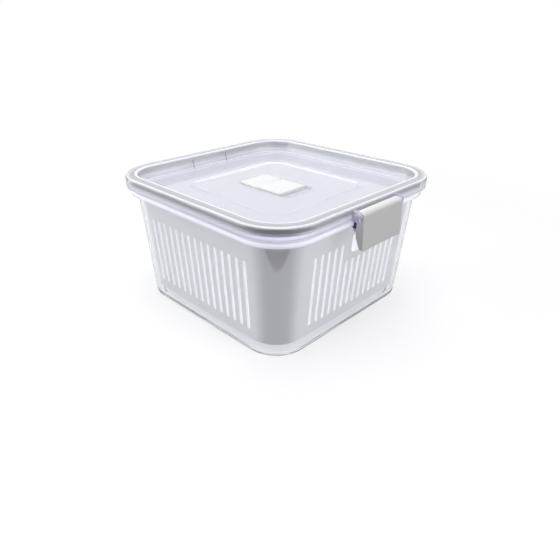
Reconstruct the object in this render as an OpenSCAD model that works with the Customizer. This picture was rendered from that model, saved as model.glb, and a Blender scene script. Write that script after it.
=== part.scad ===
// Produce keeper: a clear square container with a white slotted drain basket hung in it,
// closed by a clear tray lid that two side latches hold down. The lid has a flip-up air vent.
// The origin is at the middle of the base, +Z is up and the latches are on the +X and -X sides.

/* [Overall] */
// Width of the square lid over its straight sides
keeper_w = 200; // [185:1:240]
// Height from the table to the top of the lid's rim
keeper_h = 111; // [95:1:150]

/* [Lid] */
// Radius of the lid's outer corners, seen from above
lid_corner_r = 37; // [30:1:45]
// Thickness of the lid's walls and floor
lid_wall = 2; // [1.5:0.1:2.4]
// Width of the raised rim across its top
rim_w = 9.7; // [9:0.1:12]
// Height of the outer skirt
skirt_h = 9.6; // [8:0.1:12]
// Depth of the tray in which another keeper stands
tray_depth = 11; // [9:0.1:14]
// How far the tray's wall leans in from its top to its foot
tray_lean = 3.2; // [1:0.1:4]
// Rounding of the rim's outer top edge
rim_edge_r = 2.4; // [1:0.1:3]
// Rounding of the rim's inner top edge
rim_inner_r = 1.4; // [0.8:0.1:2]
// Rounding at the foot of the tray's wall
tray_foot_r = 1.6; // [0.8:0.1:2.5]
// Distance from the lid's edge to the edge of the sunk centre panel
panel_inset = 44; // [38:1:50]
// Depth of the centre panel below the tray's floor
panel_drop = 1; // [0.7:0.1:1.4]
// How far the centre panel's edge slopes in
panel_slope = 3; // [1.5:0.1:4]
// Radius of the centre panel's corners
panel_corner_r = 16; // [10:1:20]
// Height of the gasket between the container's rim and the lid
gasket_t = 4; // [2.5:0.1:4.5]
// How far the gasket stands out beside the container's rim
gasket_side = 0.5; // [0.3:0.1:0.8]

/* [Container] */
// Distance from the lid's edge in to the container's wall under its rim
body_inset = 7; // [6.6:0.1:9]
// How far the container's wall leans in from its rim to its base
body_lean = 5.6; // [3:0.1:8]
// Radius of the container's corners under the rim, seen from above
body_corner_r = 34; // [30:1:42]
// Thickness of the container's walls
body_wall = 1.8; // [1.4:0.1:2.2]
// Thickness of the container's floor
floor_t = 2; // [1.5:0.1:3]
// Rounding of the container's outer bottom edge
base_edge_r = 4; // [2.5:0.1:6]
// Height of the foot ring under the floor
foot_h = 1; // [0.6:0.1:2]
// Width of the foot ring
foot_w = 3; // [2:0.1:5]
// Distance from the lid's edge in to the outer face of the container's rim band
band_inset = 3; // [2.6:0.1:3.4]
// Gap between the skirt's lower edge and the rim band
band_gap = 0.6; // [0.3:0.1:1]
// Rounding of the rim band's lower edge
band_edge_r = 1.2; // [0.6:0.1:1.6]
// Distance from the rim band's face in to the standing rim
stand_step = 1.4; // [1.2:0.1:1.6]
// Thickness of the standing rim that the lid's gasket presses on
stand_t = 1.7; // [1.3:0.1:2]
// Thickness of the shoulder that the basket hangs on
shoulder_t = 1.5; // [1.2:0.1:2]

/* [Basket] */
// Gap between the basket's wall and the container's wall
basket_gap = 2; // [1.2:0.1:2.6]
// Thickness of the basket's walls
basket_wall = 1.8; // [1.4:0.1:2.2]
// Thickness of the basket's floor
basket_floor_t = 1.8; // [1.5:0.1:2.5]
// Height of the basket's floor above the container's floor
drain_h = 5.5; // [4:0.1:8]
// Rounding of the basket's outer bottom edge
basket_edge_r = 4; // [3:0.1:6]
// Thickness of the flange that rests on the container's shoulder
basket_flange_t = 1.3; // [1:0.1:1.6]
// Height of the raised lip round the flange
basket_lip_h = 2.8; // [1.5:0.1:3.2]
// Gap between the lip and the container's standing rim
lip_gap = 0.5; // [0.3:0.1:0.8]
// Width of one wall slot
slot_w = 3.1; // [2.6:0.1:3.4]
// Number of slots in each plain side, and of rows of drain slots across the floor
side_slots = 15; // [11:1:15]
// Distance from the basket's rounded corners to the plain sides' outermost slots
side_margin = 2.8; // [2:0.1:8]
// Number of slots in each latch side
grip_slots = 14; // [10:2:14]
// Distance from the basket's rounded corners to the latch sides' outermost slots
grip_margin = 8.8; // [6:0.1:12]
// Distance from the lid's top down to the slots' upper ends
slot_top = 33.5; // [30:0.5:40]
// Height of the slots' lower ends above the container's base
slot_foot = 19.5; // [17:0.5:24]
// Width of the finger hole in each latch side of the basket
grip_w = 16; // [14:0.5:18]
// Height of the finger hole
grip_h = 15; // [13:0.5:18]
// Distance from the lid's top down to the finger hole
grip_top = 28; // [25:0.5:30]
// Radius of the finger hole's corners
grip_r = 3; // [2:0.5:5]
// Solid wall kept beside the finger hole
grip_side = 5; // [4:0.5:7]
// Solid wall left between the finger hole and the short slots under it
grip_web = 6; // [4:0.5:8]
// Length of one drain slot in the basket's floor
drain_len = 30; // [20:1:32]
// Solid floor left between one row of drain slots and the next
drain_gap = 6; // [4:0.5:8]

/* [Latches] */
// Width of a latch
latch_w = 49; // [40:1:60]
// Height of a latch
latch_h = 29; // [27:0.5:36]
// Distance from the lid's top down to a latch's top
latch_drop = 2.3; // [1.5:0.1:3]
// How far a latch stands out from the lid's edge
latch_reach = 7.4; // [6.8:0.1:9]
// Rounding between a latch's top and its front
latch_round = 4; // [2.5:0.1:4]
// Radius of a latch's corners, seen from the front
latch_corner_r = 3; // [2:0.5:5]
// How far a latch's front flares out from its top to its lower edge
latch_flare = 2; // [0.5:0.1:3]
// Thickness of a latch at its lower edge
latch_edge_t = 2.2; // [1.8:0.1:3]
// Thickness of a latch's front wall and side cheeks
latch_wall = 1.8; // [1.4:0.1:2.2]
// How far a latch's cheeks reach behind its hinge line
cheek_back = 0.8; // [0.4:0.1:1.6]
// Rounding of the cheeks' lower back corner
cheek_r = 6; // [4:0.5:8]
// Radius of the latch's hinge barrel
barrel_r = 2.9; // [2.5:0.1:3]
// Radius of the hinge pins at the latch's ends
pin_r = 1.5; // [1.1:0.1:1.7]
// Radial clearance of a hinge pin in its bore
pin_clear = 0.05; // [0.03:0.01:0.08]
// Clearance between a latch and the fixed parts it swings past
swing_gap = 0.3; // [0.2:0.05:0.5]
// Thickness of one hinge lug on the lid
lug_t = 3; // [2.4:0.1:4]
// How far the catch ledge stands out from the rim band
catch_reach = 2.8; // [2.2:0.1:3]
// How far the catch ledge reaches below the rim band's shoulder
catch_drop = 1.4; // [0.5:0.1:2]
// Length of the catch ledge
catch_len = 40; // [30:1:44]
// Thickness of the latch's hook
hook_t = 2.2; // [1.6:0.1:3]
// How far the hook reaches in past the rim band's face
hook_reach = 0.6; // [0.2:0.1:1]
// Distance from each end of the latch to its hook
hook_inset = 5; // [3:0.5:8]

/* [Vent] */
// Length of the vent's seat in the lid, along X
vent_len = 58; // [54:1:62]
// Width of the vent's seat
vent_w = 34; // [32:0.2:40]
// Length of the open finger scoop at the end of the seat
scoop_len = 11; // [8:0.5:14]
// Depth of the seat below the centre panel
seat_drop = 2.6; // [2.2:0.1:3]
// Radius of the seat's corners
vent_corner_r = 5; // [3:0.5:7]
// Clearance between the vent's base and its seat
vent_clear = 0.15; // [0.1:0.05:0.3]
// How far the vent's top stays below the tray's floor
vent_sink = 0.5; // [0.3:0.1:0.8]
// Distance from the vent's end to the flap's hinge line
hinge_x = 21.5; // [19:0.5:24]
// Length of the slope that the flap swings back over
back_slope = 3.5; // [2:0.5:5]
// Thickness of the flap
flap_t = 1.6; // [1.3:0.1:1.9]
// How far the flap's sides stay inside the base's
flap_side = 0.6; // [0.3:0.1:1]
// How far the flap reaches out over the finger scoop
flap_over = 1; // [0.5:0.1:2]
// Radius of the flap's hinge pins
flap_pin_r = 0.6; // [0.5:0.05:0.7]
// Thickness of one hinge ear
ear_t = 2.2; // [1.6:0.1:3]
// Radius of the vent's air hole
air_r = 3.5; // [3:0.1:4.5]
// Wall of the neck that goes down through the lid
neck_wall = 2.4; // [2:0.1:3]
// How far the collar under the lid stands out from the neck
collar_step = 0.8; // [0.5:0.1:1.2]
// Thickness of the collar
collar_t = 1.2; // [1:0.1:1.6]
// Gap between the silicone plug and the air hole
plug_gap = 0.3; // [0.2:0.05:0.4]
// Length of the silicone plug below the flap
plug_h = 1.8; // [1.2:0.1:3]
// Thickness of the seal's disc
seal_t = 0.6; // [0.5:0.1:0.8]
// How far the seal's disc stands out beyond the air hole
seal_step = 1.7; // [1.2:0.1:2]

/* [Hidden] */
$fn = 96;
arc_steps = 5;
barrel_steps = 12;
clear_plastic = "#dfe4f0";
white_plastic = "#f4f5f7";
grey_plastic = "#d9dadd";
silicone = "#eef0f4";
// Rounding of small edges, and how far a cutting shape runs past what it cuts
soft_r = 0.5;
cut = 1;

// Lid
lid_half = keeper_w / 2;
lid_c = lid_half - lid_corner_r;
rim_in = lid_corner_r - rim_w;
tray_in = rim_in - tray_lean;
z_tray = keeper_h - tray_depth;
z_tray_under = z_tray - lid_wall;
z_skirt = keeper_h - skirt_h;
panel_half = lid_half - panel_inset;
panel_c = panel_half - panel_corner_r;
z_panel = z_tray - panel_drop;
z_seat = z_panel - seat_drop;

// Container
body_half = lid_half - body_inset;
body_c = body_half - body_corner_r;
base_r = body_corner_r - body_lean;
lid_gap = 0.3;
band_r = lid_corner_r - band_inset;
stand_r = band_r - stand_step;
z_band = z_skirt - band_gap;
z_ledge = z_tray_under - lid_gap - basket_flange_t;
z_shoulder = z_ledge - shoulder_t;
z_stand = keeper_h - lid_wall - gasket_t;
z_floor = foot_h + floor_t;
wall_slope = body_lean / z_shoulder;

// Basket
basket_r = body_corner_r - body_wall - basket_gap;
z_basket = z_floor + drain_h;
z_basket_floor = z_basket + basket_floor_t;
z_flange = z_ledge + basket_flange_t;
basket_base_r = basket_r - wall_slope * (z_shoulder - z_basket);
lip_r = stand_r - stand_t - lip_gap;
z_slot_top = keeper_h - slot_top;
z_grip = keeper_h - grip_top - grip_h;
z_short_slot = z_grip - grip_web;
drain_rows = 3;

// Latches
hinge_r = barrel_r + swing_gap;
pivot_x = lid_half + hinge_r;
latch_top = keeper_h - latch_drop;
pivot_z = latch_top - barrel_r;
latch_foot = latch_top - latch_h;
latch_front = lid_half + latch_reach;
latch_back = pivot_x - cheek_back;
lug_y = latch_w / 2 + swing_gap;
band_x = lid_half - band_inset;
catch_x = band_x + catch_reach;
z_catch = z_shoulder - catch_drop;
z_hook = z_catch - swing_gap;

// Vent
vent_left = -vent_len / 2;
base_len = vent_len - scoop_len;
z_vent_top = z_tray - vent_sink;
z_flap = z_vent_top - flap_t;
flap_x = vent_left + hinge_x;
flap_barrel_r = 1;
ear_r = 1.2;
flap_z = z_vent_top - ear_r;
flap_end = vent_left + base_len + flap_over;
ear_y = vent_w / 2 - vent_clear - ear_t;
air_x = (flap_x + vent_left + base_len) / 2;
neck_r = air_r + neck_wall;
neck_z = z_seat - lid_wall - collar_t;
seal_r = air_r + seal_step;

function unit(v) = v / norm(v);

// Places of n slots, spread evenly up to a margin from the corners' centres
function slot_places(n, margin) = [for (i = [0:n - 1]) (body_c - margin) * (2 * i / (n - 1) - 1)];

// Points of the arc of radius r that rounds the corner p between its neighbours a and b
function corner_arc(a, p, b, r, n) =
    let (u = unit(a - p), v = unit(b - p), half = acos(u * v) / 2)
    let (mid = p + unit(u + v) * r / sin(half))
    let (first = p + u * r / tan(half) - mid, last = p + v * r / tan(half) - mid)
    let (from = atan2(first.y, first.x), turn = atan2(last.y, last.x) - from)
    let (sweep = turn > 180 ? turn - 360 : turn < -180 ? turn + 360 : turn)
    [for (k = [0:n]) mid + r * [cos(from + sweep * k / n), sin(from + sweep * k / n)]];

// A closed outline from corners [x, y, radius], each rounded by its own radius
function outline(corners, n = arc_steps) =
    let (m = len(corners), at = [for (q = corners) [q.x, q.y]])
    [for (i = [0:m - 1]) each corners[i][2] == 0 ? [at[i]]
        : corner_arc(at[(i + m - 1) % m], at[i], at[(i + 1) % m], corners[i][2], n)];

// Carries a section round a square whose corner centres are c from the middle.
// The section's x is the distance out from the corner centres, and its y is the height.
module around_square(c) {
    for (turn = [0:90:270]) rotate(turn) translate([c, c, 0]) {
        rotate([90, 0, 0]) linear_extrude(2 * c) children();
        rotate_extrude(angle = 90) children();
    }
}

// A section carried round a square and closed by a flat plate between its corner centres
module tray(c, z, t) {
    around_square(c) children();
    translate([-c, -c, z]) cube([2 * c, 2 * c, t]);
}

// A flat shape in the XZ plane made into a block of width w along Y, centred on the XZ plane
module across(w) {
    translate([0, w / 2, 0]) rotate([90, 0, 0]) linear_extrude(w) children();
}

// Draws its children at +Y and, mirrored, at -Y
module both_ends() {
    for (end = [0, 1]) mirror([0, end, 0]) children();
}

module rounded_square(c, r) {
    square([2 * (c + r), 2 * c], center = true);
    square([2 * c, 2 * (c + r)], center = true);
    for (x = [-c, c], y = [-c, c]) translate([x, y]) circle(r);
}

module rounded_rect(size, r) {
    square([size.x - 2 * r, size.y], center = true);
    square([size.x, size.y - 2 * r], center = true);
    for (x = [-1, 1], y = [-1, 1])
        translate([x * (size.x / 2 - r), y * (size.y / 2 - r)]) circle(r);
}

module slot_shape(length, w) {
    square([w, length - w], center = true);
    for (y = [-1, 1]) translate([0, y * (length - w) / 2]) circle(w / 2);
}

// Container

module container_wall() {
    foot_out = base_r - base_edge_r;
    wall_in = body_corner_r - body_wall;
    polygon(outline([
        [0, foot_h, 0], [foot_out - foot_w - foot_h, foot_h, 0], [foot_out - foot_w, 0, 0],
        [base_r, 0, base_edge_r], [body_corner_r, z_shoulder, 0], [body_corner_r, z_ledge, 0],
        [wall_in, z_ledge, 0], [wall_in, z_shoulder, 0],
        [base_r - body_wall + wall_slope * z_floor, z_floor, base_edge_r - body_wall],
        [0, z_floor, 0]]));
}

module container_rim() {
    polygon(outline([
        [band_r - body_wall, z_shoulder, 0], [band_r, z_shoulder, band_edge_r],
        [band_r, z_band, soft_r], [stand_r, z_band, 0], [stand_r, z_stand, soft_r],
        [stand_r - stand_t, z_stand, soft_r], [stand_r - stand_t, z_band - body_wall, 0],
        [band_r - body_wall, z_band - body_wall, 0]]));
}

// The shoulder joins the wall to the rim band, and its edges end inside both of them
module shoulder() {
    translate([0, 0, z_shoulder]) linear_extrude(shoulder_t) difference() {
        rounded_square(lid_c, band_r - body_wall / 2);
        rounded_square(body_c, body_corner_r - body_wall / 2);
    }
}

module catch_ledge() {
    root = band_x - body_wall / 2;
    across(catch_len) polygon(outline([
        [root, z_catch, 0], [catch_x, z_catch, soft_r], [catch_x, z_band, soft_r],
        [root, z_band, 0]]));
}

module container() {
    color(clear_plastic) {
        tray(body_c, foot_h, floor_t) container_wall();
        around_square(lid_c) container_rim();
        shoulder();
        for (side = [0, 180]) rotate(side) catch_ledge();
    }
}

// Basket

module basket_wall_section() {
    wall_in = basket_r - basket_wall;
    polygon(outline([
        [0, z_basket, 0], [basket_base_r, z_basket, basket_edge_r], [basket_r, z_ledge, 0],
        [basket_r, z_flange, 0], [wall_in, z_flange, 0], [wall_in, z_ledge, 0],
        [basket_base_r - basket_wall, z_basket_floor, basket_edge_r - basket_wall],
        [0, z_basket_floor, 0]]));
}

module basket_lip() {
    z_lip = z_flange + basket_lip_h;
    polygon(outline([
        [lip_r - basket_wall, z_ledge, 0], [lip_r, z_ledge, soft_r], [lip_r, z_lip, soft_r],
        [lip_r - basket_wall, z_lip, soft_r]]));
}

module basket_flange() {
    translate([0, 0, z_ledge]) linear_extrude(basket_flange_t) difference() {
        rounded_square(lid_c, lip_r - basket_wall / 2);
        rounded_square(body_c, basket_r - basket_wall / 2);
    }
}

// One slot cut through both walls that it crosses
module wall_slot(x, z_top) {
    length = z_top - slot_foot;
    translate([x, 0, slot_foot + length / 2]) across(2 * body_half) slot_shape(length, slot_w);
}

module grip_hole() {
    translate([0, 0, z_grip + grip_h / 2]) rotate(90) across(2 * body_half)
        rounded_rect([grip_w, grip_h], grip_r);
}

module drain_slots() {
    row_pitch = drain_len + drain_gap;
    for (x = slot_places(side_slots, side_margin), j = [0:drain_rows - 1])
        translate([x, (j - (drain_rows - 1) / 2) * row_pitch, z_basket - cut])
            linear_extrude(basket_floor_t + 2 * cut) slot_shape(drain_len, slot_w);
}

module basket() {
    color(white_plastic) difference() {
        union() {
            tray(body_c, z_basket, basket_floor_t) basket_wall_section();
            around_square(lid_c) basket_lip();
            basket_flange();
        }
        for (x = slot_places(side_slots, side_margin)) wall_slot(x, z_slot_top);
        for (y = slot_places(grip_slots, grip_margin))
            rotate(90) wall_slot(y, abs(y) < grip_w / 2 + grip_side ? z_short_slot : z_slot_top);
        grip_hole();
        drain_slots();
    }
}

// Lid

module lid_section() {
    polygon(outline([
        [0, z_tray_under, 0], [tray_in + lid_wall, z_tray_under, tray_foot_r + lid_wall / 2],
        [rim_in + lid_wall, keeper_h - lid_wall, soft_r],
        [lid_corner_r - lid_wall, keeper_h - lid_wall, soft_r], [lid_corner_r - lid_wall, z_skirt, 0],
        [lid_corner_r, z_skirt, soft_r], [lid_corner_r, keeper_h, rim_edge_r],
        [rim_in, keeper_h, rim_inner_r], [tray_in, z_tray, tray_foot_r], [0, z_tray, 0]]));
}

// The sunk centre panel's pocket, or its underside when grown by the lid's wall
module panel_block(z, grow) {
    edge = panel_corner_r + grow;
    tray(panel_c, z, panel_drop) polygon([
        [0, z], [edge - panel_slope, z], [edge, z + panel_drop], [0, z + panel_drop]]);
}

// The vent's seat, or its underside when grown by the lid's wall
module seat_block(z, grow, h) {
    translate([0, 0, z]) linear_extrude(h)
        rounded_rect([vent_len + 2 * grow, vent_w + 2 * grow], vent_corner_r + grow);
}

// A lug stands the whole height of the skirt beside the latch, and holds one of its pins
module hinge_lug() {
    root = lid_half - lid_wall / 2;
    lug_x = pivot_x + hinge_r;
    lug_foot = z_skirt + soft_r;
    lug_top = pivot_z + hinge_r;
    translate([0, lug_y + lug_t / 2, 0]) across(lug_t) difference() {
        polygon(outline([[root, lug_foot, 0], [lug_x, lug_foot, soft_r], [lug_x, lug_top, hinge_r],
            [root, lug_top, 0]]));
        translate([pivot_x, pivot_z]) circle(pin_r + pin_clear);
    }
}

module lid() {
    color(clear_plastic) {
        difference() {
            union() {
                tray(lid_c, z_tray_under, lid_wall) lid_section();
                panel_block(z_panel - lid_wall, lid_wall);
                seat_block(z_seat - lid_wall, lid_wall, seat_drop);
            }
            panel_block(z_panel, 0);
            seat_block(z_seat, 0, seat_drop + panel_drop);
            translate([air_x, 0, z_seat - lid_wall - cut])
                cylinder(r = neck_r + vent_clear, h = lid_wall + 2 * cut);
        }
        for (side = [0, 180]) rotate(side) both_ends() hinge_lug();
    }
}

module lid_gasket() {
    gasket_out = stand_r + gasket_side;
    gasket_in = stand_r - stand_t - gasket_side;
    z_top = z_stand + gasket_t;
    color(silicone) around_square(lid_c) polygon(outline([
        [gasket_in, z_stand, soft_r], [gasket_out, z_stand, soft_r],
        [gasket_out, z_top, soft_r], [gasket_in, z_top, soft_r]]));
}

// Latches

// The latch seen from its end: the barrel's arc runs into the cheeks' back edge
module latch_side() {
    barrel_end = 180 + acos(cheek_back / barrel_r);
    edge_x = latch_front + latch_flare;
    polygon(outline(concat(
        [for (k = [0:barrel_steps]) let (a = 90 + k * (barrel_end - 90) / barrel_steps)
            [pivot_x + barrel_r * cos(a), pivot_z + barrel_r * sin(a), 0]],
        [[latch_back, latch_foot + latch_h / 3, cheek_r],
         [edge_x - latch_edge_t, latch_foot, soft_r],
         [edge_x, latch_foot, latch_edge_t / 2],
         [latch_front, latch_top, latch_round]])));
}

// The hollow behind the front wall, between the cheeks
module latch_hollow() {
    front = latch_front - latch_wall;
    z_top = pivot_z - barrel_r;
    polygon(outline([
        [latch_back - cut, latch_foot - cut, 0], [front + latch_flare, latch_foot - cut, 0],
        [front, z_top, latch_wall], [latch_back - cut, z_top, 0]]));
}

module latch_hook() {
    hook_x = band_x - hook_reach;
    hook_root = latch_front + latch_flare / 2 - latch_wall / 2;
    across(latch_w - 2 * hook_inset) polygon(outline([
        [hook_x, z_hook - hook_t / 2, 0], [hook_x + hook_t / 2, z_hook - hook_t, 0],
        [hook_root, z_hook - hook_t, 0], [hook_root, z_hook, 0], [hook_x, z_hook, soft_r]]));
}

// A pin starts inside its cheek and stops just short of the lug's outer face
module latch_pin() {
    root = latch_w / 2 - latch_wall / 2;
    translate([pivot_x, root, pivot_z]) rotate([-90, 0, 0])
        cylinder(r = pin_r, h = lug_y + lug_t - swing_gap - root);
}

module latch() {
    color(grey_plastic) {
        intersection() {
            difference() {
                across(2 * latch_w) latch_side();
                across(latch_w - 2 * latch_wall) latch_hollow();
            }
            translate([lid_half - cut, 0, latch_top - latch_h / 2]) rotate([90, 0, 90])
                linear_extrude(latch_reach + latch_flare + 2 * cut)
                    rounded_rect([latch_w, latch_h], latch_corner_r);
        }
        latch_hook();
        both_ends() latch_pin();
    }
}

module latch_right() {
    latch();
}

module latch_left() {
    rotate(180) latch();
}

// Vent

module vent_plate() {
    intersection() {
        seat_block(z_seat, -vent_clear, z_vent_top - z_seat);
        translate([vent_left, -vent_w / 2, z_seat]) cube([base_len, vent_w, z_vent_top - z_seat]);
    }
}

// Room for the flap: the flap's bed, and the slope that it swings back over
module flap_bed() {
    bed_back = flap_x - ear_r - plug_gap;
    bed_end = vent_left + vent_len;
    z_bed = z_flap - vent_clear;
    across(vent_w + 2 * cut) polygon([
        [bed_back, z_bed], [bed_end, z_bed], [bed_end, z_vent_top + cut],
        [bed_back - back_slope - cut, z_vent_top + cut], [bed_back - back_slope, z_vent_top]]);
    across(vent_w + 2 * cut) translate([flap_x, flap_z]) circle(ear_r + plug_gap / 2);
}

module hinge_ears() {
    both_ends() translate([0, ear_y + ear_t / 2, 0]) across(ear_t) union() {
        translate([flap_x, flap_z]) circle(ear_r);
        translate([flap_x - ear_r, z_seat]) square([2 * ear_r, flap_z - z_seat]);
    }
}

module vent_base() {
    color(white_plastic) difference() {
        union() {
            difference() {
                vent_plate();
                flap_bed();
            }
            hinge_ears();
            translate([air_x, 0, neck_z]) cylinder(r = neck_r, h = z_seat - neck_z);
            translate([air_x, 0, neck_z]) cylinder(r = neck_r + collar_step, h = collar_t);
        }
        translate([air_x, 0, neck_z - cut]) cylinder(r = air_r, h = z_vent_top - neck_z + 2 * cut);
        translate([air_x, 0, z_flap - seal_t - vent_clear])
            cylinder(r = seal_r + plug_gap, h = seal_t + flap_t);
        across(2 * vent_w) translate([flap_x, flap_z]) circle(flap_pin_r + pin_clear);
    }
}

module vent_flap() {
    flap_half = vent_w / 2 - vent_clear - flap_side;
    neck_half = ear_y - swing_gap;
    notch_end = flap_x + ear_r + swing_gap;
    color(white_plastic) {
        difference() {
            translate([flap_x, -flap_half, z_flap]) cube([flap_end - flap_x, 2 * flap_half, flap_t]);
            both_ends() translate([flap_x - cut, neck_half, z_flap - cut])
                cube([notch_end - flap_x + cut, vent_w / 2, flap_t + 2 * cut]);
        }
        across(2 * neck_half) translate([flap_x, flap_z]) circle(flap_barrel_r);
        across(2 * (ear_y + ear_t)) translate([flap_x, flap_z]) circle(flap_pin_r);
    }
}

module vent_seal() {
    color(silicone) {
        translate([air_x, 0, z_flap - plug_h]) cylinder(r = air_r - plug_gap, h = plug_h);
        translate([air_x, 0, z_flap - seal_t]) cylinder(r = seal_r, h = seal_t);
    }
}

container();
basket();
lid();
lid_gasket();
latch_right();
latch_left();
vent_base();
vent_flap();
vent_seal();
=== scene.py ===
"""Looks of the produce keeper: clear plastic shells round a white slotted basket, in a white studio."""

import math

import bpy
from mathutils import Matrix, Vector


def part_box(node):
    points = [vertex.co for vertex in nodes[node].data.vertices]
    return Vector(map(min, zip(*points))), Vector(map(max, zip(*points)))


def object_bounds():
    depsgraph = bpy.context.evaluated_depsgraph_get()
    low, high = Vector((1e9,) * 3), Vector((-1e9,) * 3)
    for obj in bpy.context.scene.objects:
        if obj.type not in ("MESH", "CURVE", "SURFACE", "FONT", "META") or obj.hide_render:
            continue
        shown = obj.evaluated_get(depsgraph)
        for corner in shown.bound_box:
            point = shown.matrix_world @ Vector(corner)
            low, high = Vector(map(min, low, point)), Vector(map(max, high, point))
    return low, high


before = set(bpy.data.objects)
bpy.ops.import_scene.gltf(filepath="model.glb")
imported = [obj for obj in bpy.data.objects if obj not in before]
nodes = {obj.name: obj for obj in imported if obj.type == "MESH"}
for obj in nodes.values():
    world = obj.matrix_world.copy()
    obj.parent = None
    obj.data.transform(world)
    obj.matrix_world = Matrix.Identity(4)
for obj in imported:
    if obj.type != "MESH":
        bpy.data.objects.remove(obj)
cad_low, cad_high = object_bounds()

# Camera, fitted to the photograph's rim, walls and latch
IMAGE_PX = 560
FOCAL_PX = 476.11
PRINCIPAL_PX = (267.65, 302.43)
CAMERA_AZIMUTH = math.radians(45.23)
CAMERA_ELEVATION = math.radians(30.92)
CAMERA_DISTANCE = 0.44011
CAMERA_TARGET = Vector((0.01164, -0.02139, -0.00386))
SENSOR_MM = 36.0
CLIP_START = 0.01

# Studio. A light has an azimuth and an elevation in degrees, a size in metres and a power in watts
LIGHTS = {
    "top": (45, 82, 0.7, 4.3),
    "back": (225, 54, 0.6, 2.3),
    "left": (-48, 22, 0.9, 4.4),
    "right": (100, 20, 1.1, 4.6),
}
LIGHT_DISTANCE = 0.9
WORLD_COLOUR = (0.97, 0.98, 1, 1)
WORLD_STRENGTH = 0.11
FLOOR_HALF = 6.0
FLOOR_DROP = 0.0002
FLOOR_COLOUR = (0.6, 0.6, 0.61, 1)
FLOOR_SEEN_COLOUR = (0.5, 0.5, 0.51, 1)
FLOOR_SEEN_GLOW = 0.54
SHADOW_REACH = (0.2, 0.55)
WHITE = (1, 1, 1, 1)
BLACK = (0, 0, 0, 1)

# Zones of the lid, in metres, as distances out from its corner centres, seen from above, and as heights
lid_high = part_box("lid")[1]
LID_RADIUS = 0.037
CORNER_CENTRE = lid_high.y - LID_RADIUS
RIM_INNER_LINE = LID_RADIUS - 0.0078
TRAY_WALL_OUT = LID_RADIUS - 0.0075
TRAY_OUT = LID_RADIUS - 0.0070
RIM_OUTER_LINE = LID_RADIUS - 0.0023
LUGS_OUT = LID_RADIUS + 0.0004
RIM_LINES_Z = lid_high.z - 0.0012
RIM_Z = lid_high.z - 0.0018
TRAY_WALL_Z = lid_high.z - 0.0095
FOOT_LINE_Z = (lid_high.z - 0.0107, lid_high.z - 0.0098)
SEAT_Z = lid_high.z - 0.0127
TICKS_Z = (lid_high.z - 0.0112, lid_high.z - 0.0035)

# Zones of the container: its rim band, the line along it, the standing rim and the catch ledges' ends
box_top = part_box("container")[1].z
BAND_Z = box_top - 0.0105
BAND_LINE_Z = (box_top - 0.0064, box_top - 0.0043)
STANDING_RIM_Z = box_top - 0.0022
LEDGE_Z = (box_top - 0.0120, box_top - 0.0032)
LEDGE_X = 0.0800
LEDGE_END_Y = (0.0192, 0.0200)

# Corners of the basket, whose share runs from 0 at their ends to 1 in their middle, are painted darker as
# shade.
# The dark patch under the rim is a painted shadow of the rim. It starts at one share and is full at the
# next.
# PATCH_WIDENING is added to the share by height, and PATCH_TOP_SHARE is what is left of the patch close
# under the rim
basket_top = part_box("basket")[1].z
CORNER_SHADE_SHARE = 0.75
PATCH_SHARES = (0.86, 0.95)
PATCH_Z = (basket_top - 0.0285, basket_top - 0.0105)
PATCH_WIDENING = (-0.14, 0.13)
PATCH_FADE_Z = (basket_top - 0.0120, basket_top - 0.0085)
PATCH_TOP_SHARE = 0.4

# Surround of the basket's finger holes, which glows with painted light against the latches' shadow
HOLE_X = 0.0700
HOLE_Y = (0.0140, 0.0300)
HOLE_Z = (basket_top - 0.0365, basket_top - 0.0205)

# A face counts as the basket's outside where it lies that far from the axis, measured along its normal
OUTSIDE_FACING = (0.06, 0.07)

# Zone of the latches: the upper rounding, which is painted paler as a highlight where it catches the light
latch_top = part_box("latch_right")[1].z
CREST_Z = (latch_top - 0.0029, latch_top - 0.0005)

# Width of the short ramp where one zone meets the next
ZONE_EDGE = 0.0005

# Haze of the clear plastics, as its share on one surface
TRAY_HAZE = 0.45
SEAT_HAZE = 0.8
LUG_HAZE = 0.4
SKIRT_HAZE = (0.3, 0.02)
RIM_HAZE = 0.6
WALL_HAZE = 0.04
BAND_HAZE = 0.4

# Clear plastics. Pairs are the two ends of a faint tone change
CLEAR_IOR = 1.5
CLEAR_ROUGHNESS = (0.01, 0.03)
MILK_ROUGHNESS = (0.1, 0.16)
CLEAR_GLOSS_SCALE = 60.0
MILK_SCALE = 9.0
BOX_TINT = (0.94, 0.945, 0.965, 1)
BOX_LAMP_TINT = (0.95, 0.95, 0.96, 1)
# Painted light: glow of the container's haze
BOX_PAINTED_GLOW = 0.45
BOX_MILK = ((0.84, 0.84, 0.92, 1), (0.8, 0.8, 0.89, 1))
BAND_LINE_MILK = (0.5, 0.5, 0.55, 1)
# Painted shade of the standing rim, from its flat sides to its corners
STANDING_RIM_SHADE = ((0.3, 0.3, 0.32, 1), (0.03, 0.03, 0.035, 1))
# Painted shade on the catch ledges' ends
LEDGE_END_SHADE = (0.03, 0.02, 0.08, 1)
LID_TINT = (0.87, 0.88, 0.915, 1)
LID_LAMP_TINT = (0.97, 0.97, 0.98, 1)
# Painted light: glow of the lid's haze
LID_PAINTED_GLOW = 0.12
TRAY_MILK = ((0.46, 0.475, 0.52, 1), (0.43, 0.445, 0.49, 1))
TRAY_WALL_MILK = ((0.57, 0.575, 0.61, 1), (0.54, 0.545, 0.58, 1))
# Painted light: paler milk in the vent's seat, against the shade in its pocket
SEAT_PAINTED_LIGHT = (0.65, 0.66, 0.7, 1)
LUG_MILK = (0.52, 0.49, 0.67, 1)
# Painted highlight on the rim's roundings and the tray wall's foot
RIM_HIGHLIGHT_COLOUR = (0.78, 0.78, 0.83, 1)
# Painted shade: dark ticks for the catch ledges' ends seen through the tray's wall
TICKS_SHADE = (0.05, 0.045, 0.07, 1)

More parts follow.
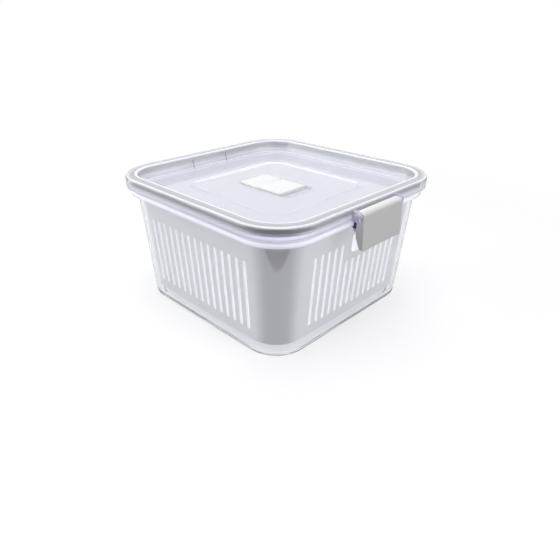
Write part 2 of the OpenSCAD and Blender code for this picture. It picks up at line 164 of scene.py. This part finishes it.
# Opaque plastics and silicone
MOULDED_IOR = 1.49
TONE_SCALE = 14.0
TONE_DETAIL = 3.0
GLOSS_SCALE = 90.0
GRAIN_DETAIL = 4.0
# Painted shade: the basket's outside, greyer than its inside, which is painted lit
BASKET_OUTSIDE_SHADED = ((0.505, 0.51, 0.515, 1), (0.48, 0.485, 0.49, 1))
# Painted shade in the basket's corners
BASKET_CORNER_SHADE = (0.4, 0.4, 0.405, 1)
# Painted shadow of the rim at the top of each corner
BASKET_RIM_SHADOW = (0.22, 0.22, 0.225, 1)
BASKET_INSIDE_LIT = ((0.95, 0.95, 0.955, 1), (0.93, 0.93, 0.94, 1))
BASKET_ROUGHNESS = (0.4, 0.5)
BASKET_GRAIN = (900.0, 0.00002)
# Painted light: the basket glows on its outside except in the corners, and a little inside
BASKET_PAINTED_GLOW = 0.35
OUTSIDE_PAINTED_GLOW = (0.304, 0.304, 0.324, 1)
# Painted light round the finger holes
HOLE_PAINTED_GLOW = (0.95, 0.95, 0.98, 1)
INSIDE_PAINTED_GLOW = (0.16, 0.16, 0.16, 1)
VENT_TONES = ((0.76, 0.77, 0.775, 1), (0.73, 0.74, 0.75, 1))
LATCH_TONES = ((0.63, 0.627, 0.63, 1), (0.6, 0.597, 0.6, 1))
# Painted highlight on the latches' upper rounding
LATCH_CREST_HIGHLIGHT = (0.82, 0.82, 0.835, 1)
SILICONE_TONES = ((0.11, 0.11, 0.125, 1), (0.09, 0.09, 0.105, 1))


def direction(azimuth, elevation):
    """The unit vector from the object towards that azimuth and elevation, in radians."""
    flat = math.cos(elevation)
    return Vector((math.sin(azimuth) * flat, -math.cos(azimuth) * flat, math.sin(elevation)))


def make_camera():
    data = bpy.data.cameras.new("camera")
    data.sensor_width = SENSOR_MM
    data.lens = FOCAL_PX * SENSOR_MM / IMAGE_PX
    data.shift_x = (IMAGE_PX / 2 - PRINCIPAL_PX[0]) / IMAGE_PX
    data.shift_y = (PRINCIPAL_PX[1] - IMAGE_PX / 2) / IMAGE_PX
    data.clip_start = CLIP_START
    camera = bpy.data.objects.new("camera", data)
    bpy.context.scene.collection.objects.link(camera)
    back = direction(CAMERA_AZIMUTH, CAMERA_ELEVATION)
    camera.location = CAMERA_TARGET + back * CAMERA_DISTANCE
    camera.rotation_mode = "QUATERNION"
    camera.rotation_quaternion = (-back).to_track_quat("-Z", "Y")
    bpy.context.scene.camera = camera


def area_light(name, azimuth, elevation, size, power):
    """A square soft box that looks at the middle of the object."""
    data = bpy.data.lights.new(name, "AREA")
    data.shape = "SQUARE"
    data.size = size
    data.energy = power
    light = bpy.data.objects.new(name, data)
    bpy.context.scene.collection.objects.link(light)
    towards = direction(math.radians(azimuth), math.radians(elevation))
    light.location = (cad_low + cad_high) / 2 + towards * LIGHT_DISTANCE
    light.rotation_mode = "QUATERNION"
    light.rotation_quaternion = (-towards).to_track_quat("-Z", "Y")


def new_tree(name):
    """A material with an empty node tree, and its output node."""
    material = bpy.data.materials.new(name)
    material.use_nodes = True
    tree = material.node_tree
    tree.nodes.clear()
    return material, tree, tree.nodes.new("ShaderNodeOutputMaterial")


def add_node(tree, kind, **values):
    """A node with inputs set by name, where an underscore stands for a space."""
    node = tree.nodes.new(kind)
    for key, value in values.items():
        node.inputs[key.replace("_", " ")].default_value = value
    return node


def object_place(tree):
    """The socket of the place on the object."""
    return tree.nodes.new("ShaderNodeTexCoord").outputs["Object"]


def noise(tree, scale, detail=TONE_DETAIL):
    """Noise by place on the object, in features per metre."""
    texture = add_node(tree, "ShaderNodeTexNoise", Scale=scale, Detail=detail)
    tree.links.new(object_place(tree), texture.inputs["Vector"])
    return texture.outputs["Fac"]


def span(tree, value, start, end, low=0.0, high=1.0):
    """low where the value is under start, high where it is over end, and a ramp between them."""
    node = add_node(tree, "ShaderNodeMapRange", From_Min=start, From_Max=end, To_Min=low, To_Max=high)
    tree.links.new(value, node.inputs["Value"])
    return node.outputs["Result"]


def step(tree, value, at, low, high):
    """low under that value and high over it, with a short ramp between them."""
    return span(tree, value, at, at + ZONE_EDGE, low, high)


def combine(tree, operation, first, *others):
    """The numbers of all those sockets, joined one after another by that operation."""
    for other in others:
        node = tree.nodes.new("ShaderNodeMath")
        node.operation = operation
        tree.links.new(first, node.inputs[0])
        tree.links.new(other, node.inputs[1])
        first = node.outputs["Value"]
    return first


def between(tree, value, low, high):
    """1 where the value lies between those two, and 0 elsewhere."""
    return combine(tree, "MULTIPLY", step(tree, value, low, 0.0, 1.0), step(tree, value, high, 1.0, 0.0))


def blend(tree, factor, first, second):
    """first where factor is 0, second where it is 1. Each of them is a colour or a socket."""
    node = tree.nodes.new("ShaderNodeMix")
    node.data_type = "RGBA"
    tree.links.new(factor, node.inputs["Factor"])
    for side, colour in (("A", first), ("B", second)):
        if isinstance(colour, tuple):
            node.inputs[side].default_value = colour
        else:
            tree.links.new(colour, node.inputs[side])
    return node.outputs["Result"]


def mix_shaders(tree, factor, first, second):
    """first where factor is 0, second where it is 1."""
    both = tree.nodes.new("ShaderNodeMixShader")
    for index, socket in enumerate((factor, first, second)):
        tree.links.new(socket, both.inputs[index])
    return both.outputs["Shader"]


def grain_normal(tree, scale, depth):
    """The normal of a fine grain of that depth."""
    node = add_node(tree, "ShaderNodeBump", Distance=depth)
    tree.links.new(noise(tree, scale, GRAIN_DETAIL), node.inputs["Height"])
    return node.outputs["Normal"]


def vector_math(tree, operation, first, second=None):
    """The node of that operation on a socket and, where it takes two, on a constant or another socket."""
    node = tree.nodes.new("ShaderNodeVectorMath")
    node.operation = operation
    tree.links.new(first, node.inputs[0])
    if isinstance(second, tuple):
        node.inputs[1].default_value = second
    elif second is not None:
        tree.links.new(second, node.inputs[1])
    return node


def axes(tree, vector):
    """Sockets of a vector's X, Y and Z."""
    node = tree.nodes.new("ShaderNodeSeparateXYZ")
    tree.links.new(vector, node.inputs["Vector"])
    return node.outputs["X"], node.outputs["Y"], node.outputs["Z"]


def height_at(tree):
    """The socket of the height on the object."""
    return axes(tree, object_place(tree))[2]


def mirrored_place(tree):
    """Sockets of the X, Y and Z of the place, the same on both sides of the object's middle planes."""
    return axes(tree, vector_math(tree, "ABSOLUTE", object_place(tree)).outputs["Vector"])


def corner_vector(tree):
    """The level vector out from the nearest of the lid's corner centres. Beside a flat side it points
    straight out from that side. The 1 is more than any height here, so the vector has none."""
    size = vector_math(tree, "ABSOLUTE", object_place(tree)).outputs["Vector"]
    past = vector_math(tree, "SUBTRACT", size, (CORNER_CENTRE, CORNER_CENTRE, 1)).outputs["Vector"]
    return vector_math(tree, "MAXIMUM", past, (0, 0, 0)).outputs["Vector"]


def distance_out(tree):
    """The distance out from the lid's corner centres, as seen from above."""
    return vector_math(tree, "LENGTH", corner_vector(tree)).outputs["Value"]


def corner_share(tree):
    """0 along the flat sides, rising to 1 in the middle of each corner."""
    x, y, _ = axes(tree, vector_math(tree, "NORMALIZE", corner_vector(tree)).outputs["Vector"])
    return span(tree, combine(tree, "MULTIPLY", x, y), 0.0, 0.5)


def rim_highlight_lines(tree):
    """1 on the two roundings of the rim's top and at the foot of the tray's wall, which catch the light
    as fine bright lines that are painted highlights."""
    out = distance_out(tree)
    height = height_at(tree)
    inner = step(tree, out, RIM_INNER_LINE, 1.0, 0.0)
    outer = step(tree, out, RIM_OUTER_LINE, 0.0, 1.0)
    edges = combine(tree, "MAXIMUM", inner, outer)
    top = combine(tree, "MULTIPLY", edges, step(tree, height, RIM_LINES_Z, 0.0, 1.0))
    inside = step(tree, out, TRAY_WALL_OUT, 1.0, 0.0)
    foot = combine(tree, "MULTIPLY", inside, between(tree, height, *FOOT_LINE_Z))
    return combine(tree, "MAXIMUM", top, foot)


def ledge_ends(tree, low, high):
    """1 on fine upright lines at the ends of the catch ledges, between those two heights, which are painted
    dark as shade.
    """
    x, y, z = mirrored_place(tree)
    side = step(tree, x, LEDGE_X, 0.0, 1.0)
    return combine(tree, "MULTIPLY", side, between(tree, y, *LEDGE_END_Y), between(tree, z, low, high))


def tray_painted_ticks(tree):
    """1 on the tray's wall where painted dark ticks stand for the shaded ends of the catch ledges seen
    through it.
    """
    inside = step(tree, distance_out(tree), TRAY_WALL_OUT, 1.0, 0.0)
    return combine(tree, "MULTIPLY", inside, ledge_ends(tree, *TICKS_Z))


def lid_haze(tree):
    """The tray and the rim's top are milky, and the skirt is clearer, most of all at its corners."""
    out = distance_out(tree)
    height = height_at(tree)
    skirt = span(tree, corner_share(tree), 0.0, 1.0, *SKIRT_HAZE)
    lugs = step(tree, out, LUGS_OUT, 0.0, LUG_HAZE)
    panels = step(tree, height, SEAT_Z, SEAT_HAZE, TRAY_HAZE)
    tray = combine(tree, "MULTIPLY", panels, step(tree, out, TRAY_OUT, 1.0, 0.0))
    rim = step(tree, height, RIM_Z, 0.0, RIM_HAZE)
    return combine(tree, "MAXIMUM", skirt, lugs, tray, rim, rim_highlight_lines(tree), tray_painted_ticks(tree))


def box_haze(tree):
    """The container's wall is nearly clear, and its rim band milky."""
    band = step(tree, height_at(tree), BAND_Z, WALL_HAZE, BAND_HAZE)
    return combine(tree, "MAXIMUM", band, ledge_ends(tree, *LEDGE_Z))


def lid_milk(tree):
    """Paler in the upright walls, the rim and the vent's seat than in the tray's floor, and violet in the
    thick lugs. The seat is paler as painted light, which lifts the shade in the vent's pocket."""
    floor = blend(tree, noise(tree, MILK_SCALE), *TRAY_MILK)
    wall = blend(tree, noise(tree, MILK_SCALE), *TRAY_WALL_MILK)
    height = height_at(tree)
    milk = blend(tree, step(tree, height, TRAY_WALL_Z, 0.0, 1.0), floor, wall)
    milk = blend(tree, step(tree, height, SEAT_Z, 1.0, 0.0), milk, SEAT_PAINTED_LIGHT)
    milk = blend(tree, step(tree, distance_out(tree), LUGS_OUT, 0.0, 1.0), milk, LUG_MILK)
    # The rim's roundings and the tray wall's foot are painted pale as highlights
    milk = blend(tree, rim_highlight_lines(tree), milk, RIM_HIGHLIGHT_COLOUR)
    # Painted shade: dark ticks on the tray's wall for the catch ledges' ends behind it
    return blend(tree, tray_painted_ticks(tree), milk, TICKS_SHADE)


def box_milk(tree):
    """Pale haze with a greyer line along the band, but the standing rim between lid and band is painted dark
    as shade, darkest in the corners."""
    height = height_at(tree)
    pale = blend(tree, noise(tree, MILK_SCALE), *BOX_MILK)
    lined = blend(tree, between(tree, height, *BAND_LINE_Z), pale, BAND_LINE_MILK)
    dark = blend(tree, corner_share(tree), *STANDING_RIM_SHADE)
    milk = blend(tree, step(tree, height, STANDING_RIM_Z, 0.0, 1.0), lined, dark)
    # The catch ledges' ends are painted dark as shade
    return blend(tree, ledge_ends(tree, *LEDGE_Z), milk, LEDGE_END_SHADE)


def clear_plastic(name, tint, haze, milk_colour, lamp_tint, glow):
    """Clear moulded plastic with milky haze, whose milk glows a little in its own colour as painted light.
    haze and milk_colour are functions that give the haze's share and colour as sockets. Lamps pass through
    the plastic, so that what is inside is lit."""
    material, tree, output = new_tree(name)
    shell = add_node(tree, "ShaderNodeBsdfPrincipled", Base_Color=tint, IOR=CLEAR_IOR,
                     Transmission_Weight=1.0)
    gloss = span(tree, noise(tree, CLEAR_GLOSS_SCALE), 0.0, 1.0, *CLEAR_ROUGHNESS)
    tree.links.new(gloss, shell.inputs["Roughness"])
    # The milk's glow is painted light
    milk = add_node(tree, "ShaderNodeBsdfPrincipled", IOR=CLEAR_IOR, Emission_Strength=glow)
    milk_gloss = span(tree, noise(tree, CLEAR_GLOSS_SCALE), 0.0, 1.0, *MILK_ROUGHNESS)
    tree.links.new(milk_gloss, milk.inputs["Roughness"])
    colour = milk_colour(tree)
    tree.links.new(colour, milk.inputs["Base Color"])
    tree.links.new(colour, milk.inputs["Emission Color"])
    body = mix_shaders(tree, haze(tree), shell.outputs["BSDF"], milk.outputs["BSDF"])
    path = tree.nodes.new("ShaderNodeLightPath")
    open_way = add_node(tree, "ShaderNodeBsdfTransparent", Color=lamp_tint)
    seen = mix_shaders(tree, path.outputs["Is Shadow Ray"], body, open_way.outputs["BSDF"])
    tree.links.new(seen, output.inputs["Surface"])
    return material


def finish_moulded(tree, body, output, roughness, grain):
    """Gives an opaque moulding its uneven gloss and its fine grain, whose scale and depth are a pair."""
    gloss = span(tree, noise(tree, GLOSS_SCALE), 0.0, 1.0, *roughness)
    tree.links.new(gloss, body.inputs["Roughness"])
    tree.links.new(grain_normal(tree, *grain), body.inputs["Normal"])
    tree.links.new(body.outputs["BSDF"], output.inputs["Surface"])


def moulded_plastic(name, tones, roughness, grain, glow=0.0, crest_highlight=None):
    """Opaque moulding with faint tone changes and a fine grain. crest is the colour of a painted highlight
    that the latches' upper rounding fades to, where it catches the light."""
    material, tree, output = new_tree(name)
    # A glow here is painted light, given to the vent
    body = add_node(tree, "ShaderNodeBsdfPrincipled", IOR=MOULDED_IOR, Emission_Color=WHITE,
                    Emission_Strength=glow)
    colour = blend(tree, noise(tree, TONE_SCALE), *tones)
    if crest_highlight:
        # Painted highlight on the latches' upper rounding
        colour = blend(tree, span(tree, height_at(tree), *CREST_Z), colour, crest_highlight)
    tree.links.new(colour, body.inputs["Base Color"])
    finish_moulded(tree, body, output, roughness, grain)
    return material


def corner_patch(tree):
    """1 in the pointed dark patch that the rim's shadow makes at the top of each corner."""
    height = height_at(tree)
    widening = span(tree, height, *PATCH_Z, *PATCH_WIDENING)
    patch = span(tree, combine(tree, "ADD", corner_share(tree), widening), *PATCH_SHARES)
    return combine(tree, "MULTIPLY", patch, span(tree, height, *PATCH_FADE_Z, 1.0, PATCH_TOP_SHARE))


def hole_surround(tree):
    """1 round the basket's finger holes behind the latches, which glow there with painted light against the
    latches' shadow.
    """
    x, y, z = mirrored_place(tree)
    side = step(tree, x, HOLE_X, 0.0, 1.0)
    return combine(tree, "MULTIPLY", side, span(tree, y, *HOLE_Y, 1.0, 0.0), span(tree, z, *HOLE_Z))


def outside_share(tree):
    """1 on the faces that look out from the basket's axis, and 0 on its inner faces and its floor."""
    level = vector_math(tree, "MULTIPLY", object_place(tree), (1, 1, 0)).outputs["Vector"]
    normal = tree.nodes.new("ShaderNodeNewGeometry").outputs["True Normal"]
    return span(tree, vector_math(tree, "DOT_PRODUCT", level, normal).outputs["Value"], *OUTSIDE_FACING)


def basket_plastic():
    """White moulded plastic, painted greyer outside as shade and paler inside as the light that gathers
    between the walls, with a painted glow.
    """
    material, tree, output = new_tree("white_plastic")
    body = add_node(tree, "ShaderNodeBsdfPrincipled", IOR=MOULDED_IOR, Emission_Strength=BASKET_PAINTED_GLOW)
    outside = outside_share(tree)
    corner = span(tree, corner_share(tree), 0.0, CORNER_SHADE_SHARE)
    inner = blend(tree, noise(tree, TONE_SCALE), *BASKET_INSIDE_LIT)
    outer = blend(tree, noise(tree, TONE_SCALE), *BASKET_OUTSIDE_SHADED)
    # Corners painted darker as shade
    outer = blend(tree, corner, outer, BASKET_CORNER_SHADE)
    # Painted shadow of the rim in each corner
    outer = blend(tree, corner_patch(tree), outer, BASKET_RIM_SHADOW)
    # Inside and outside are painted as lit and shaded copies of one white
    tree.links.new(blend(tree, outside, inner, outer), body.inputs["Base Color"])
    # Painted light: the outside glows, but not in the shaded corners
    glow = blend(tree, corner, OUTSIDE_PAINTED_GLOW, BLACK)
    # Painted light round the finger holes, against the latches' shadow
    glow = blend(tree, hole_surround(tree), glow, HOLE_PAINTED_GLOW)
    tree.links.new(blend(tree, outside, INSIDE_PAINTED_GLOW, glow), body.inputs["Emission Color"])
    finish_moulded(tree, body, output, BASKET_ROUGHNESS, BASKET_GRAIN)
    return material


def dress(node, material):
    """Gives a CAD node that material all over."""
    slots = nodes[node].data.materials
    slots.clear()
    slots.append(material)
    for face in nodes[node].data.polygons:
        face.material_index = 0


def seen_rays(tree, *kinds):
    """1 for rays of these kinds, such as those that come straight from the camera."""
    path = tree.nodes.new("ShaderNodeLightPath")
    return combine(tree, "MAXIMUM", *(path.outputs[kind] for kind in kinds))


def floor_material():
    """A matt white floor. Where it is seen, most of its white is its own, so the shadow stays soft
    and fades into plain white away from the object."""
    material, tree, output = new_tree("studio_floor")
    matt = add_node(tree, "ShaderNodeBsdfDiffuse", Color=FLOOR_COLOUR)
    shaded = add_node(tree, "ShaderNodeBsdfDiffuse", Color=FLOOR_SEEN_COLOUR)
    glow = add_node(tree, "ShaderNodeEmission", Color=WHITE, Strength=FLOOR_SEEN_GLOW)
    near = tree.nodes.new("ShaderNodeAddShader")
    tree.links.new(shaded.outputs["BSDF"], near.inputs[0])
    tree.links.new(glow.outputs["Emission"], near.inputs[1])
    distance = vector_math(tree, "LENGTH", object_place(tree))
    fade = add_node(tree, "ShaderNodeMapRange", From_Min=SHADOW_REACH[0], From_Max=SHADOW_REACH[1])
    fade.interpolation_type = "SMOOTHSTEP"
    tree.links.new(distance.outputs["Value"], fade.inputs["Value"])
    plain = add_node(tree, "ShaderNodeEmission", Color=WHITE, Strength=1.0)
    seen = mix_shaders(tree, fade.outputs["Result"], near.outputs["Shader"], plain.outputs["Emission"])
    rays = seen_rays(tree, "Is Camera Ray", "Is Transmission Ray")
    tree.links.new(mix_shaders(tree, rays, matt.outputs["BSDF"], seen), output.inputs["Surface"])
    return material


def make_floor():
    mesh = bpy.data.meshes.new("studio_floor")
    h = FLOOR_HALF
    mesh.from_pydata([(-h, -h, 0), (h, -h, 0), (h, h, 0), (-h, h, 0)], [], [(0, 1, 2, 3)])
    mesh.materials.append(floor_material())
    floor = bpy.data.objects.new("studio_floor", mesh)
    floor.location.z = -FLOOR_DROP
    bpy.context.scene.collection.objects.link(floor)


def make_world():
    """Even light from all round, and plain white where the background is seen."""
    world = bpy.data.worlds.new("studio")
    bpy.context.scene.world = world
    world.use_nodes = True
    tree = world.node_tree
    tree.nodes.clear()
    output = tree.nodes.new("ShaderNodeOutputWorld")
    fill = add_node(tree, "ShaderNodeBackground", Color=WORLD_COLOUR, Strength=WORLD_STRENGTH)
    seen = add_node(tree, "ShaderNodeBackground", Color=WHITE, Strength=1.0)
    rays = seen_rays(tree, "Is Camera Ray", "Is Glossy Ray", "Is Transmission Ray")
    both = mix_shaders(tree, rays, fill.outputs["Background"], seen.outputs["Background"])
    tree.links.new(both, output.inputs["Surface"])


box_plastic = clear_plastic("box_plastic", BOX_TINT, box_haze, box_milk, BOX_LAMP_TINT, BOX_PAINTED_GLOW)
lid_plastic = clear_plastic("lid_plastic", LID_TINT, lid_haze, lid_milk, LID_LAMP_TINT, LID_PAINTED_GLOW)
white = basket_plastic()
# The vent's glow is painted light that lifts the shade on its sides
bright = moulded_plastic("vent_plastic", VENT_TONES, roughness=(0.3, 0.4), grain=(900.0, 0.00002), glow=0.08)
grey = moulded_plastic("grey_plastic", LATCH_TONES, roughness=(0.3, 0.4), grain=(1400.0, 0.00003),
                       crest_highlight=LATCH_CREST_HIGHLIGHT)
rubber = moulded_plastic("silicone", SILICONE_TONES, roughness=(0.5, 0.6), grain=(600.0, 0.00001))

for name, material in {
    "container": box_plastic, "lid": lid_plastic, "basket": white, "vent_base": bright, "vent_flap": bright,
    "latch_right": grey, "latch_left": grey, "lid_gasket": rubber, "vent_seal": rubber,
}.items():
    dress(name, material)

make_camera()
make_floor()
make_world()
for name, (azimuth, elevation, size, power) in LIGHTS.items():
    area_light(name, azimuth, elevation, size, power)
bpy.context.scene.view_settings.view_transform = "Standard"
